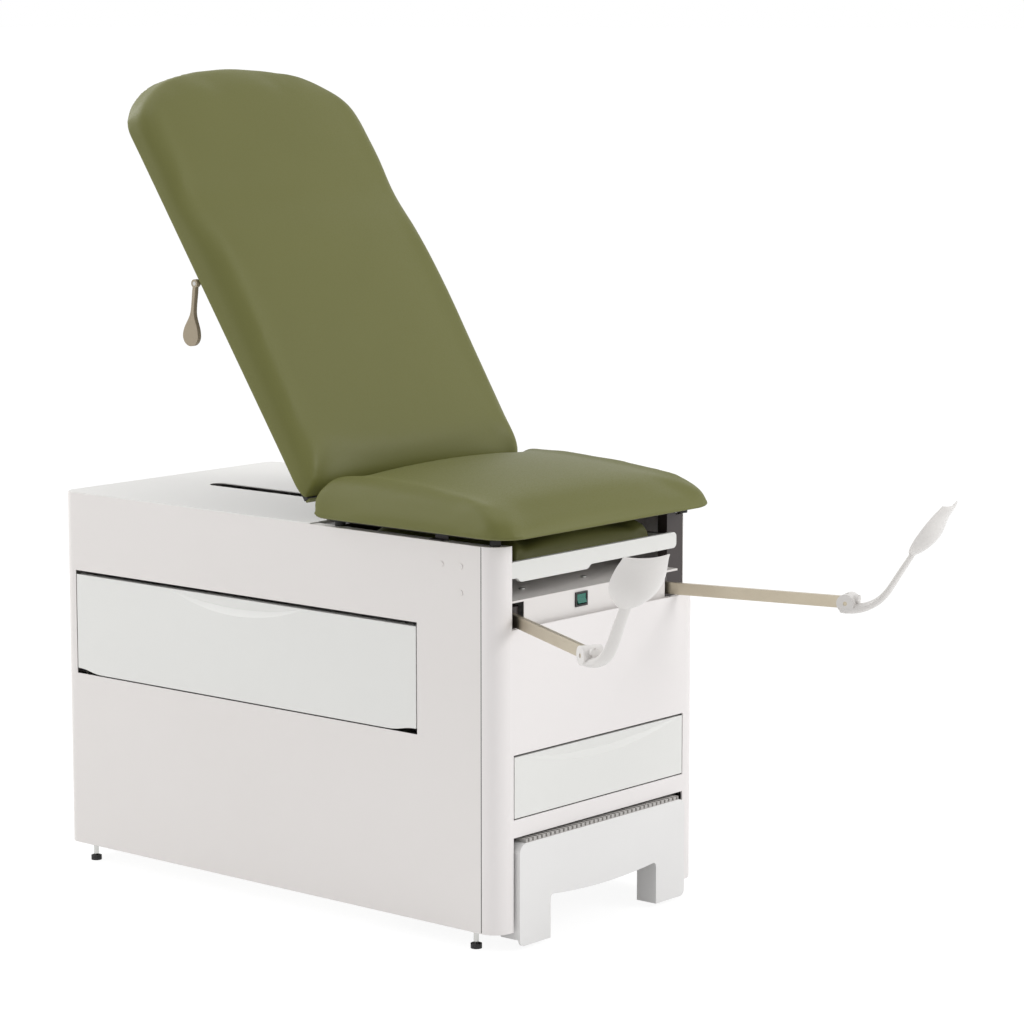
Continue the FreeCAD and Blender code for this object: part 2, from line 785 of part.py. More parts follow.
# Gas spring between the back board and the anchor inside the cabinet.
clevis_half = "(eye_width / 2 + 1)"
clevis_low = "(strut_drop + pin_radius + clevis_cheek)"
clevis_parts = []
for index, low in enumerate(("slot_y - " + clevis_half + " - clevis_cheek", "slot_y + " + clevis_half)):
    clevis_parts.append(box("clevis_cheek_%d" % index,
                            ("-strut_reach - clevis_half_length", low, "-" + clevis_low),
                            ("2 * clevis_half_length", "clevis_cheek", board_low + " + " + clevis_low)))
clevis_parts.append(rod("clevis_pin",
                        ("-strut_reach", "slot_y - " + clevis_half + " - clevis_cheek - 2", "-strut_drop"),
                        "pin_radius", "2 * (" + clevis_half + " + clevis_cheek + 2)", "y"))
node("strut_clevis", on_back(fuse("strut_clevis", *clevis_parts)))

spring_top = back_frame.multVec(Vector(-num("strut_reach"), 0, -num("strut_drop")))
spring_low = Vector(num("anchor_x"), 0, num("anchor_z"))
spring_span = spring_top - spring_low
spring_turn = Rotation(Vector(0, 1, 0), math.degrees(math.atan2(spring_span.x, spring_span.z)))
spring_frame = Placement(spring_low + Vector(0, num("slot_y"), 0), spring_turn)
span = spring_span.Length


def on_spring(item):
    item.Placement = spring_frame
    return item


def spring_eye(name, height):
    eye = rod(name + "_eye", ("0", "-eye_width / 2", "0"), "eye_radius", "eye_width", "y")
    bore = rod(name + "_bore", ("0", "-eye_width", "0"), "pin_radius + running_gap", "2 * eye_width", "y")
    for part in (eye, bore):
        part.setExpression("Placement.Base.z", "%f" % height)
    return eye, bore


low_eye, low_bore = spring_eye("tube", 0)
tube = rod("tube_wall", ("0", "0", "eye_radius - 1"), "tube_radius", "tube_length")
tube_bore = rod("tube_bore", ("0", "0", "eye_radius + tube_length - bore_depth"),
                "rod_radius + running_gap", "bore_depth")
node("gas_spring_cylinder", on_spring(cut(
    "gas_spring_cylinder", fuse("tube_outer", low_eye, tube), low_bore, tube_bore)))
high_eye, high_bore = spring_eye("rod", span)
rod_start = num("eye_radius + tube_length - rod_inside")
piston = rod("piston_rod", ("0", "0", "0"), "rod_radius", "rod_radius")
piston.setExpression("Placement.Base.z", "%f" % rod_start)
piston.setExpression("Height", "%f" % (span - rod_start))
node("gas_spring_rod", on_spring(cut("gas_spring_rod", fuse("rod_outer", high_eye, piston), high_bore)))

# Cross beam with the two welded cheeks that hold the foot of the gas spring.
cross_top = "(cross_low + cross_height)"
beam_parts = [box("cross_bar", ("cross_x", "-cab_width / 2 + sheet", "cross_low"),
                  ("36", "cab_width - 2 * sheet", "cross_height"))]
for index, low in enumerate(("slot_y - 22", "slot_y + 18")):
    beam_parts.append(box("anchor_cheek_%d" % index, ("anchor_x - anchor_half_length", low, cross_top),
                          ("2 * anchor_half_length", "clevis_cheek", "anchor_z - " + cross_top + " + 12")))
node("cross_beam", fuse("cross_beam", *beam_parts))

# Release bar behind the back board with a paddle at each end.
bearing_low = "(shaft_drop + shaft_radius + bearing_wall)"
bearing_parts = []
for index, middle in enumerate(("-bearing_y", "bearing_y")):
    bearing_parts.append(cut("bearing_%d" % index, box(
        "bearing_block_%d" % index,
        ("-shaft_reach - 11", middle + " - bearing_length / 2", "-" + bearing_low),
        ("22", "bearing_length", board_low + " + " + bearing_low)),
        rod("bearing_bore_%d" % index, ("-shaft_reach", middle + " - bearing_length", "-shaft_drop"),
            "shaft_radius + running_gap", "2 * bearing_length", "y")))
node("shaft_bearings", on_back(group("shaft_bearings", *bearing_parts)))
shaft_end = "(paddle_y + paddle_thick / 2)"
shaft = rod("shaft_bar", ("-shaft_reach", "-" + shaft_end, "-shaft_drop"),
            "shaft_radius", "2 * " + shaft_end, "y")
trip = box("shaft_trip", ("-shaft_reach - trip_length", "slot_y - 5", "-shaft_drop - shaft_radius"),
           ("trip_length", "10", "shaft_radius"))
node("release_shaft", on_back(fuse("release_shaft", shaft, trip)))


def paddle(name, middle):
    # A spoon-shaped plate: a ring round the shaft, a slim neck and a drop-shaped bulb.
    reach = num("paddle_length")
    neck = num("paddle_neck")
    bulb = num("paddle_bulb")
    ring = num("paddle_ring")
    shoulder = math.sqrt(ring ** 2 - neck ** 2)
    half_widths = ((shoulder / reach, neck), (0.4, neck), (0.62, 1.7 * neck), (0.8, 0.72 * bulb), (1, bulb))
    upper = [Vector(run * reach, 0, half) for run, half in half_widths]
    lower = [Vector(spot.x, 0, -spot.z) for spot in upper]
    edges = []
    for spots in (upper, lower):
        side = Part.BSplineCurve()
        side.interpolate(spots)
        edges.append(side.toShape())
    face = Part.Face(Part.Wire([
        edges[0],
        Part.Arc(upper[-1], Vector(reach + bulb, 0, 0), lower[-1]).toShape(),
        edges[1],
        Part.Arc(lower[0], Vector(-ring, 0, 0), upper[0]).toShape(),
    ]))
    plate = face.extrude(Vector(0, num("paddle_thick"), 0))
    bore = Part.makeCylinder(num("shaft_radius"), 2 * num("paddle_thick"),
                             Vector(0, -num("paddle_thick") / 2, 0), Vector(0, 1, 0))
    item = solid(name, plate.cut(bore))
    swing = Placement(Vector(-num("shaft_reach"), middle - num("paddle_thick") / 2, -num("shaft_drop")),
                      Rotation(Vector(0, 1, 0), num("paddle_angle")))
    item.Placement = back_frame.multiply(swing)
    return node(name, item)


paddle("near_paddle", -num("paddle_y"))
paddle("far_paddle", num("paddle_y"))


def tray(name, low, size, wall):
    outer = box(name + "_outer", low, size)
    hollow = box(name + "_hollow", [text + " + " + wall for text in low],
                 (size[0] + " - 2 * " + wall, size[1] + " - 2 * " + wall, size[2]))
    return cut(name, outer, hollow)


# Side drawer, opening to -Y.
front_x = "(side_open_x + drawer_gap)"
front_run = "(side_open_length - 2 * drawer_gap)"
front_tall = "(side_open_height - drawer_gap - drawer_top_gap)"


def drawer_front(name, plate, lip_run, lip_edge):
    # A plate with a lens-shaped finger scoop that deepens from its top edge.
    drop = num("lip_drop")
    reach = 3 * num("lip_depth")
    radius = (num(lip_run) ** 2 / 4 + drop ** 2) / (2 * drop)
    scoop = solid(name + "_scoop", Part.makeCone(radius, radius + reach, reach))
    lean = Placement(Vector(), Rotation(Vector(1, 0, 0), math.degrees(math.atan2(num("lip_depth"), drop))))
    scoop.Placement = lip_edge.multiply(lean).multiply(Placement(Vector(0, radius - drop, 0), Rotation()))
    return node(name, cut(name, plate, scoop))


side_top = num("side_open_low + side_open_height - drawer_top_gap")
side_mid = num("side_open_x + side_open_length / 2 - 10")
# Its lower corners sweep up in two arcs.
swoop = "(notch_height / 4 + notch_width * notch_width / notch_height / 4)"
half_notch = "notch_width / 2"
side_plate = profile("side_plate", "XZ_Plane", [
    ("notch_width", "0", swoop, "left"),
    (front_run + " - notch_width", "0"),
    (front_run + " - " + half_notch, "notch_height / 2", swoop, "left"),
    (front_run, "notch_height", swoop, "right"),
    (front_run, front_tall),
    ("0", front_tall),
    ("0", "notch_height"),
    (half_notch, "notch_height / 2", swoop, "right"),
], "drawer_front", (front_x, "-cab_width / 2", "side_open_low + drawer_gap"), True)
drawer_front("side_drawer_front", side_plate, "side_lip_length",
             Placement(Vector(side_mid, -num(half_width), side_top), Rotation(Vector(1, 0, 0), 90)))
box_x = "(side_open_x + drawer_gap + 15)"
box_run = "(side_open_length - 2 * drawer_gap - 30)"
box_y = "(-cab_width / 2 + drawer_front)"
box_z = "(side_open_low + 8)"
node("side_drawer_box", tray("side_drawer_box", (box_x, box_y, box_z),
                             (box_run, "side_box_depth", "side_box_height"), "drawer_wall"))
slide_run = "(side_box_depth - 10)"
left_slide = box("left_slide", (box_x + " - slide_width", box_y, box_z + " + 5"),
                 ("slide_width", slide_run, "slide_height"))
right_slide = box("right_slide", (box_x + " + " + box_run, box_y, box_z + " + 5"),
                  ("slide_width", slide_run, "slide_height"))
node("side_drawer_slides", group("side_drawer_slides", left_slide, right_slide))
rail_low = "(shelf_low + sheet)"
rail_tall = "(side_open_low + 8 + 5 + slide_height - shelf_low - sheet)"
left_rail = box("left_rail", (box_x + " - 2 * slide_width - slide_gap", box_y + " + 2", rail_low),
                ("slide_width", slide_run, rail_tall))
right_rail = box("right_rail", (box_x + " + " + box_run + " + slide_width + slide_gap",
                                box_y + " + 2", rail_low),
                 ("slide_width", slide_run, rail_tall))
node("side_drawer_rails", group("side_drawer_rails", left_rail, right_rail))

# Front drawer, opening to +X.
face_half = "(front_open_half - drawer_gap)"
face_tall = "(front_open_height - drawer_gap - front_top_gap)"
face_x = "(cab_length / 2 - drawer_front)"
face_top = num("front_open_low + front_open_height - front_top_gap")
front_plate = box("front_plate", (face_x, "-" + face_half, "front_open_low + drawer_gap"),
                  ("drawer_front", "2 * " + face_half, face_tall))
drawer_front("front_drawer_front", front_plate, "2 * " + face_half + " - 2 * lip_margin",
             Placement(Vector(num(half_length), 0, face_top), Rotation(Vector(1, 1, 1), 120)))
front_box_half = "(" + upright_inner + " - 2 * slide_width - 4 * slide_gap - 7)"
front_box_z = "(front_open_low + 9)"
node("front_drawer_box", tray(
    "front_drawer_box", (face_x + " - front_box_depth", "-" + front_box_half, front_box_z),
    ("front_box_depth", "2 * " + front_box_half, "front_box_height"), "drawer_wall"))
front_slide_z = "(front_open_low + 45)"
front_slide = box("near_front_slide", (face_x + " - front_box_depth + 10",
                                       "-" + front_box_half + " - slide_width", front_slide_z),
                  ("front_box_depth - 10", "slide_width", "slide_height"))
node("front_drawer_slides", pair("front_drawer_slides", front_slide))
front_rail = box("near_front_rail", ("bulkhead_x + sheet", "-" + upright_inner, front_slide_z),
                 ("upright_front - bulkhead_x - sheet",
                  upright_inner + " - " + front_box_half + " - slide_width - slide_gap", "slide_height"))
node("front_drawer_rails", pair("front_drawer_rails", front_rail))

# Step, opening to +X: a face with a bowed arch between two legs, and a hood behind it.
arch_half = "(step_half - step_leg)"
leg_high = "(step_arch - step_low)"
step_tall = "(step_top - step_low)"
step_wide = "2 * step_half"
arch_run = "(2 * step_half - 2 * step_leg - 2 * step_arch_radius)"
arch_bow = "(step_arch_sag / 2 + " + arch_run + " * " + arch_run + " / step_arch_sag / 8)"
step_face = profile("step_face", "YZ_Plane", [
    ("step_toe", "0", "step_toe", "left"),
    ("step_leg", "0"),
    ("step_leg", leg_high + " - step_arch_radius"),
    ("step_leg + step_arch_radius", leg_high, "step_arch_radius", "right"),
    (step_wide + " - step_leg - step_arch_radius", leg_high, arch_bow, "left"),
    (step_wide + " - step_leg", leg_high + " - step_arch_radius", "step_arch_radius", "right"),
    (step_wide + " - step_leg", "0"),
    (step_wide + " - step_toe", "0"),
    (step_wide, "step_toe", "step_toe", "left"),
    (step_wide, step_tall + " - step_corner"),
    (step_wide + " - step_corner", step_tall, "step_corner", "left"),
    ("step_corner", step_tall),
    ("0", step_tall + " - step_corner", "step_corner", "left"),
    ("0", "step_toe"),
], "step_wall", ("step_front - step_wall", "-step_half", "step_low"))
step_rear = "(step_front - step_depth)"
hood_top = "(" + step_tall + " - step_wall)"
step_hood = profile("step_hood", "YZ_Plane", [
    ("0", "step_skirt"),
    ("step_wall", "step_skirt"),
    ("step_wall", step_tall + " - step_corner"),
    ("step_corner", hood_top, "step_corner - step_wall", "right"),
    (step_wide + " - step_corner", hood_top),
    (step_wide + " - step_wall", step_tall + " - step_corner", "step_corner - step_wall", "right"),
    (step_wide + " - step_wall", "step_skirt"),
    (step_wide, "step_skirt"),
    (step_wide, step_tall + " - step_corner"),
    (step_wide + " - step_corner", step_tall, "step_corner", "left"),
    ("step_corner", step_tall),
    ("0", step_tall + " - step_corner", "step_corner", "left"),
], "step_depth - step_wall", (step_rear, "-step_half", "step_low"))
leg_side = box("leg_side", ("step_front - step_foot", "-step_half", "step_low + step_toe"),
               ("step_foot - step_wall", "step_wall", "step_skirt"))
leg_cheek = box("leg_cheek", ("step_front - step_foot", "-" + arch_half + " - step_wall", "step_low"),
                ("step_foot - step_wall", "step_wall", leg_high))
leg_parts = [pair("pair_" + part.Name, part) for part in (leg_side, leg_cheek)]
node("step_shell", fuse("step_shell", step_face, step_hood, *leg_parts))

# Ribbed tread: the ribs run to the front edge, where their ends show as teeth.
tread_half = "(step_half - step_corner)"
tread_plate = box("tread_plate", (step_rear, "-" + tread_half, "step_top"),
                  ("step_depth - 1", "2 * " + tread_half, "tread_height"))
groove_count = int(num("2 * " + tread_half) / num("tread_pitch"))
grooves = [box("groove_%d" % index,
               (step_rear, "-" + tread_half + " + tread_groove + %d * tread_pitch" % index,
                "step_top + tread_base"),
               ("step_depth", "tread_groove", "tread_height"))
           for index in range(groove_count)]
node("step_tread", cut("step_tread", tread_plate, *grooves))
guide_z = "(floor_gap + upstand - 40)"
step_runner = box("near_runner", (step_rear + " + 8", "-step_half + step_wall", guide_z),
                  ("step_depth - step_wall - 8", "slide_width + 4", "slide_height"))
node("step_runners", pair("step_runners", step_runner))
step_guide = box("near_guide", (pan_front, "-step_half + step_wall + slide_width + 4 + slide_gap", guide_z),
                 ("step_bay - 40", "12", "slide_height"))
node("step_guides", pair("step_guides", step_guide))

# Leg rest sliding out over the stirrup housing.
tray_rear = "(tray_front - bezel_depth - tray_depth)"
tray_floor = box("tray_floor", (tray_rear, "-tray_half", "tray_low"),
                 ("tray_depth", "2 * tray_half", "tray_sheet"))
tray_side = box("tray_side", (tray_rear, "-tray_half", "tray_low"), ("tray_depth", "tray_sheet", "tray_wall"))
bezel_tall = "(bezel_height + pull_drop)"
pull_a = "(pull_start + bezel_half)"
pull_b = "(pull_start + bezel_half + pull_length)"
bezel_rise = "(bezel_height + pull_drop - bezel_end)"
half_drop = "(pull_drop / 2)"
slope_radius = "(pull_drop / 4 + pull_slope * pull_slope / pull_drop)"
bezel = profile("bezel", "YZ_Plane", [
    ("0", "pull_drop + bezel_end"),
    ("bezel_end", "pull_drop", "bezel_end", "left"),
    (pull_a + " - pull_slope", "pull_drop"),
    (pull_a, half_drop, slope_radius, "right"),
    (pull_a + " + pull_slope", "0", slope_radius, "left"),
    (pull_b + " - pull_slope", "0"),
    (pull_b, half_drop, slope_radius, "left"),
    (pull_b + " + pull_slope", "pull_drop", slope_radius, "right"),
    ("2 * bezel_half - bezel_end", "pull_drop"),
    ("2 * bezel_half", "pull_drop + bezel_end", "bezel_end", "left"),
    ("2 * bezel_half", bezel_rise),
    ("2 * bezel_half - bezel_end", bezel_tall, "bezel_end", "left"),
    ("bezel_end", bezel_tall),
    ("0", bezel_rise, "bezel_end", "left"),
], "bezel_depth", ("tray_front - bezel_depth", "-bezel_half", "bezel_low - pull_drop"))
node("leg_rest_tray", fuse("leg_rest_tray", tray_floor, pair("tray_sides", tray_side), bezel))
rest_sections = []
for run in stations(num("rest_pad_length"), num("rest_roll"), num("rest_roll"), (0.3, 0.5, 0.7)):
    gap = min(run, num("rest_pad_length") - run)
    roll = 0.55 + 0.45 * oval(gap, num("rest_roll"))
    half = num("rest_pad_half") * (0.95 + 0.05 * oval(gap, num("rest_roll")))
    rest_sections.append((num(tray_rear) + 8 + run, half,
                          num("rest_pad_edge") * roll, num("rest_pad_crown") * roll))
node("leg_rest_pad", solid("leg_rest_pad", pillow(rest_sections, num("tray_low + tray_sheet"))))
rest_slide_z = "(tray_low + 2)"
rest_slide = box("near_rest_slide", (tray_rear + " + 6", "-tray_half - slide_width", rest_slide_z),
                 ("tray_depth - 30", "slide_width", "12"))
node("leg_rest_slides", pair("leg_rest_slides", rest_slide))
rest_rail = box("near_rest_rail",
                ("hinge_x + beam_depth / 2", "-" + upright_inner, top + " - sheet - beam_height"),
                ("upright_front - hinge_x - beam_depth / 2",
                 upright_inner + " - tray_half - slide_width - slide_gap", "14"))
node("leg_rest_rails", pair("leg_rest_rails", rest_rail))

# Stirrup housing: a folded sheet between the uprights, with the switch in its face.
housing_run = "(housing_front - housing_rear)"
housing_foot_x = "(housing_front - housing_rear - housing_foot)"
housing_body = profile("housing_sheet", "XZ_Plane", [
    (housing_foot_x, "0"),
    (housing_run, "0"),
    (housing_run, "housing_height"),
    ("0", "housing_height"),
    ("0", "housing_height - sheet"),
    (housing_run + " - sheet", "housing_height - sheet"),
    (housing_run + " - sheet", "sheet"),
    (housing_foot_x, "sheet"),
], "2 * " + upright_inner, ("housing_rear", "-" + upright_inner, "housing_low"), True)
arm_hole = box("near_arm_hole", ("housing_front - 2 * sheet", "-hole_outer", "housing_low + 8"),
               ("3 * sheet", "hole_outer - hole_inner", "housing_height - 12"))
switch_hole = box("switch_hole", ("housing_front - 2 * sheet", "switch_y - switch_width / 2 + 2",
                                  "switch_z - switch_height / 2 + 2"),
                  ("3 * sheet", "switch_width - 4", "switch_height - 4"))
node("stirrup_housing", cut("stirrup_housing", housing_body, pair("arm_holes", arm_hole), switch_hole))
housing_top = "(housing_low + housing_height)"
node("housing_screws", group("housing_screws", *[
    rod("screw_%d" % index, ("screw_x", across, housing_top), "screw_radius", "screw_height")
    for index, across in enumerate(("-screw_y", "screw_far_y"))]))
block_top = "(block_base + block_height)"
bar_low = "(arm_z - bar_height / 2)"
bar_high = "(arm_z + bar_height / 2)"
low_pin_run = "(" + bar_low + " - housing_low - sheet - 1)"
low_pivot = rod("low_pivot", ("pivot_x", "-pivot_y", "housing_low + sheet"), "pin_radius", low_pin_run)
high_pivot = rod("high_pivot", ("pivot_x", "-pivot_y", bar_high + " + 3"), "pin_radius",
                 housing_top + " - sheet - " + bar_high + " - 3")
near_pivots = group("near_pivots", low_pivot, high_pivot)
node("stirrup_pivots", pair("stirrup_pivots", near_pivots))


def cup_section(along, shift, half, rim, depth, wall):
    # A crescent across the cup: outer arc, inner arc and two rim lines.
    outer_right = Vector(along, shift + half, rim)
    outer_left = Vector(along, shift - half, rim)
    inner_right = Vector(along, shift + half - wall, rim)
    inner_left = Vector(along, shift - half + wall, rim)
    return Part.Wire([
        Part.Arc(outer_left, Vector(along, shift, rim - depth), outer_right).toShape(),
        Part.makeLine(outer_right, inner_right),
        Part.Arc(inner_right, Vector(along, shift, rim - depth + wall), inner_left).toShape(),
        Part.makeLine(inner_left, outer_left),
    ])


def gooseneck():
    # Oval sections that dip under the hub, sweep up round a bend and run on to the cup.
    dive = math.radians(num("neck_dive"))
    turn = math.radians(num("neck_turn"))
    bend = num("neck_bend")
    start = Vector(-num("neck_back"), 0, -num("neck_back"))
    centre = start + Vector(math.sin(dive), 0, math.cos(dive)) * bend
    spots = []
    for step in range(6):
        heading = -dive + (turn + dive) * step / 5
        spots.append((centre + Vector(math.sin(heading), 0, -math.cos(heading)) * bend, heading))
    bend_end = spots[-1][0]
    forward = Vector(math.cos(turn), 0, math.sin(turn))
    for share in (0.35, 0.7, 1):
        spots.append((bend_end + forward * (num("neck_run") * share), turn))
    wires = []
    for index, (spot, heading) in enumerate(spots):
        done = index / (len(spots) - 1)
        flare = (1 - done) ** 2
        middle = spot + Vector(0, num("neck_veer") * done, 0)
        across = Vector(0, num("neck_wide") * (1 + 0.8 * flare), 0)
        through = Vector(-math.sin(heading), 0, math.cos(heading)) * (num("neck_thick") * (1 + 1.2 * flare))
        oblong = Part.Ellipse(middle + across, middle + through, middle)
        wires.append(Part.Wire(oblong.toShape()))
    return Part.makeLoft(wires, True, False), spots[-1][0]


def heel_cup_shape():
    # Drawn about the cup pin: a forked hub, the gooseneck and a scooped shell with a raised rim.
    hub_half = num("hub_half")
    hub = Part.makeCylinder(num("hub_radius"), 2 * hub_half, Vector(0, -hub_half, 0), Vector(0, 1, 0))
    neck, neck_end = gooseneck()
    fork = num("bar_thick / 2 + slot_play")
    eye = num("bar_height / 2 + fork_play")
    fork_slot = Part.makeCylinder(eye, 2 * fork, Vector(0, -fork, 0), Vector(0, 1, 0))
    fork_mouth = Part.makeBox(4 * eye, 2 * fork, 4 * eye, Vector(-4 * eye, -fork, -2 * eye))
    bore = Part.makeCylinder(num("cup_pin + running_gap"), 4 * hub_half,
                             Vector(0, -2 * hub_half, 0), Vector(0, 1, 0))
    pocket = Part.makeCylinder(num("cap_radius"), num("cap_length"),
                               Vector(num("cap_seat"), 0, num("cap_rise")), Vector(1, 0, 0))
    shape = hub.fuse(neck)
    for tool in (fork_slot, fork_mouth, bore, pocket):
        shape = shape.cut(tool)
    half = num("cup_wide") / 2
    # Share of the cup's length, with the shares of its breadth and depth reached there.
    fractions = ((0.0, 0.2, 0.34), (0.08, 0.5, 0.52), (0.2, 0.76, 0.78), (0.36, 0.95, 0.97),
                 (0.5, 1.0, 1.0), (0.68, 0.97, 0.8), (0.84, 0.9, 0.57), (1.0, 0.85, 0.4))
    sections = []
    for run, broad, deep in fractions:
        curl = num("cup_curl") * max(run - 0.6, 0) ** 2 / 0.16
        shift = num("cup_shift") * min(run / 0.12, 1)
        sections.append(cup_section(num("cup_length") * run, shift, half * broad,
                                    num("cup_rim") - curl, num("cup_hollow") * deep, num("cup_wall")))
    shell = Part.makeLoft(sections, True, False)
    lean = num("cup_angle")
    sunk = Vector(math.cos(math.radians(lean)), 0, math.sin(math.radians(lean))) * num("neck_thick")
    shell.Placement = Placement(neck_end - sunk + Vector(0, num("neck_veer"), 0),
                                Rotation(Vector(0, 1, 0), -lean))
    return shape.fuse(shell)


cup_shape = heel_cup_shape()


def stirrup(prefix, side, splay):
    pivot = Vector(num("pivot_x"), side * num("pivot_y"), 0)
    frame = Placement(pivot, Rotation(Vector(0, 0, 1), num(splay)))
    drum = rod(prefix + "_drum", ("0", "0", "block_base"), "block_radius", "block_height")
    slot_cut = box(prefix + "_bar_slot",
                   ("-2 * block_radius", "-bar_thick / 2 - slot_play", bar_low + " - slot_play"),
                   ("4 * block_radius", "bar_thick + 2 * slot_play", "bar_height + 2 * slot_play"))
    pin_cut = rod(prefix + "_pivot_bore", ("0", "0", "block_base - 1"),
                  "pin_radius + running_gap", "block_height + 2")
    block = cut(prefix + "_swivel_block", drum, slot_cut, pin_cut)
    bar = box(prefix + "_bar", ("-arm_tail", "-bar_thick / 2", bar_low),
              ("arm_tail + hub_reach", "bar_thick", "bar_height"))
    bar_eye = rod(prefix + "_bar_eye", ("hub_reach", "-bar_thick / 2", "arm_z"),
                  "bar_height / 2", "bar_thick", "y")
    cup_pin = rod(prefix + "_cup_pin", ("hub_reach", "-hub_half + 1", "arm_z"),
                  "cup_pin", "2 * hub_half - 2", "y")
    arm = fuse(prefix + "_stirrup_arm", bar, bar_eye, cup_pin)
    cap_start = "hub_reach + cap_seat"
    cap = rod(prefix + "_cap", (cap_start, "0", "arm_z + cap_rise"), "cap_radius", "cap_length", "x")
    notches = []
    for index in range(3):
        angle = math.radians(90 + 120 * index)
        notch = rod(prefix + "_notch_%d" % index, (cap_start + " + cap_length / 2", "0", "arm_z"),
                    "cap_notch", "cap_length", "x")
        notch.setExpression("Placement.Base.y", bound("cap_radius * %f" % math.cos(angle)))
        notch.setExpression("Placement.Base.z", bound("arm_z + cap_rise + cap_radius * %f" % math.sin(angle)))
        notches.append(notch)
    hub_cap = cut(prefix + "_hub_cap", cap, *notches)
    for name, item in (("_swivel_block", block), ("_stirrup_arm", arm), ("_hub_cap", hub_cap)):
        item.Placement = frame
        node(prefix + name, item)
    shape = cup_shape.copy() if side < 0 else cup_shape.mirror(Vector(), Vector(0, 1, 0))
    cup = solid(prefix + "_heel_cup", shape)
    cup.Placement = frame.multiply(Placement(Vector(num("hub_reach"), 0, num("arm_z")), Rotation()))
    node(prefix + "_heel_cup", cup)


stirrup("near", -1, "near_splay")
stirrup("far", 1, "far_splay")

# Rocker switch.
bezel_plate = box("switch_plate",
                  ("housing_front", "switch_y - switch_width / 2", "switch_z - switch_height / 2"),
                  ("3", "switch_width", "switch_height"))
switch_body = box("switch_body", ("housing_front - 26", "switch_y - switch_width / 2 + 2.2",
                                  "switch_z - switch_height / 2 + 2.2"),
                  ("26", "switch_width - 4.4", "switch_height - 4.4"))
switch_well = box("switch_well", ("housing_front - 14", "switch_y - switch_width / 2 + 3.7",
                                  "switch_z - switch_height / 2 + 3.7"),
                  ("20", "switch_width - 7.4", "switch_height - 7.4"))
node("switch_bezel", cut("switch_bezel", fuse("switch_case", bezel_plate, switch_body), switch_well))
rocker_half = "(switch_height / 2 - 5)"
rocker = profile("rocker", "XZ_Plane", [
    ("0", "3"),
    ("8.5", "0"),
    ("6.5", rocker_half),
    ("8.5", "2 * " + rocker_half),
    ("0", "2 * " + rocker_half + " - 3"),
], "switch_width - 9", (), True)
rocker_pivot = Placement(Vector(num("housing_front - 2.5"), num("switch_y"), num("switch_z")),
                         Rotation(Vector(0, 1, 0), num("switch_tilt")))
rocker.Placement = rocker_pivot.multiply(Placement(
    Vector(-2, -num("switch_width - 9") / 2, -num(rocker_half)), Rotation()))
node("switch_rocker", rocker)

doc.recompute()
faults = [item.Label for item in doc.Objects if "Invalid" in item.State or "Error" in item.State]
faults += [name for name, item in nodes.items() if item.Shape.isNull() or not item.Shape.isValid()]
if faults:
    raise RuntimeError("not built: " + ", ".join(faults))
os.makedirs("parts", exist_ok=True)
for name, item in nodes.items():
    item.Shape.exportStep("parts/%s.step" % name)
print(len(nodes), "nodes")
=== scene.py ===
import json
import math

import bmesh
import bpy
from mathutils import Matrix, Vector


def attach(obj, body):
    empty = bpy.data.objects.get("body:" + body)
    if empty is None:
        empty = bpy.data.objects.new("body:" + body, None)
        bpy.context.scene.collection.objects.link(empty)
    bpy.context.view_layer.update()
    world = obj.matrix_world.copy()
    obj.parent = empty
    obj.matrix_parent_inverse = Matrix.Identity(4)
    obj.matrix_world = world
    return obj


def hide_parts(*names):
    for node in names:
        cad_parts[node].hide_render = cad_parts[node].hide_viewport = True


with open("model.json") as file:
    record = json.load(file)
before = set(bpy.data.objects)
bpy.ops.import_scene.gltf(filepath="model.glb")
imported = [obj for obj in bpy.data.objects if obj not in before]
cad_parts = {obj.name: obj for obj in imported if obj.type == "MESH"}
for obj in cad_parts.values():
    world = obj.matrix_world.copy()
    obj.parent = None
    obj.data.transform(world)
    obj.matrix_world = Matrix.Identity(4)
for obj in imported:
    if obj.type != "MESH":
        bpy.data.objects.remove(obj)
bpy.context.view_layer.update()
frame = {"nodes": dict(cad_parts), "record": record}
nodes = frame["nodes"]
scene = bpy.context.scene
mm = 0.001
print("stage: frame loaded")


# Materials

def linear(hexText):
    parts = [int(hexText[at:at + 2], 16) / 255 for at in (1, 3, 5)]
    return [part / 12.92 if part <= 0.04045 else ((part + 0.055) / 1.055) ** 2.4 for part in parts] + [1.0]


def addNode(tree, kind, settings=None, **sockets):
    made = tree.nodes.new("ShaderNode" + kind)
    for name, value in (settings or {}).items():
        setattr(made, name, value)
    for name, value in sockets.items():
        key = int(name[1:]) if name[0] == "n" and name[1:].isdigit() else name.replace("_", " ")
        if isinstance(value, bpy.types.NodeSocket):
            tree.links.new(value, made.inputs[key])
        else:
            made.inputs[key].default_value = value
    return made


def startMaterial(name, light, dark, patch, **shaderSockets):
    # light and dark are the two tones that drift over patches of the given size in mm
    made = bpy.data.materials.new(name)
    made.use_nodes = True
    tree = made.node_tree
    shader = tree.nodes["Principled BSDF"]
    for socket, value in shaderSockets.items():
        shader.inputs[socket.replace("_", " ")].default_value = value
    place = addNode(tree, "TexCoord").outputs["Object"]
    drift = addNode(tree, "TexNoise", Vector=place, Scale=1 / (patch * mm), Detail=3.0).outputs["Fac"]
    tone = addNode(tree, "Mix", {"data_type": "RGBA"}, n0=drift, n6=linear(dark), n7=linear(light))
    tree.links.new(tone.outputs[2], shader.inputs["Base Color"])
    return made, tree, shader, place


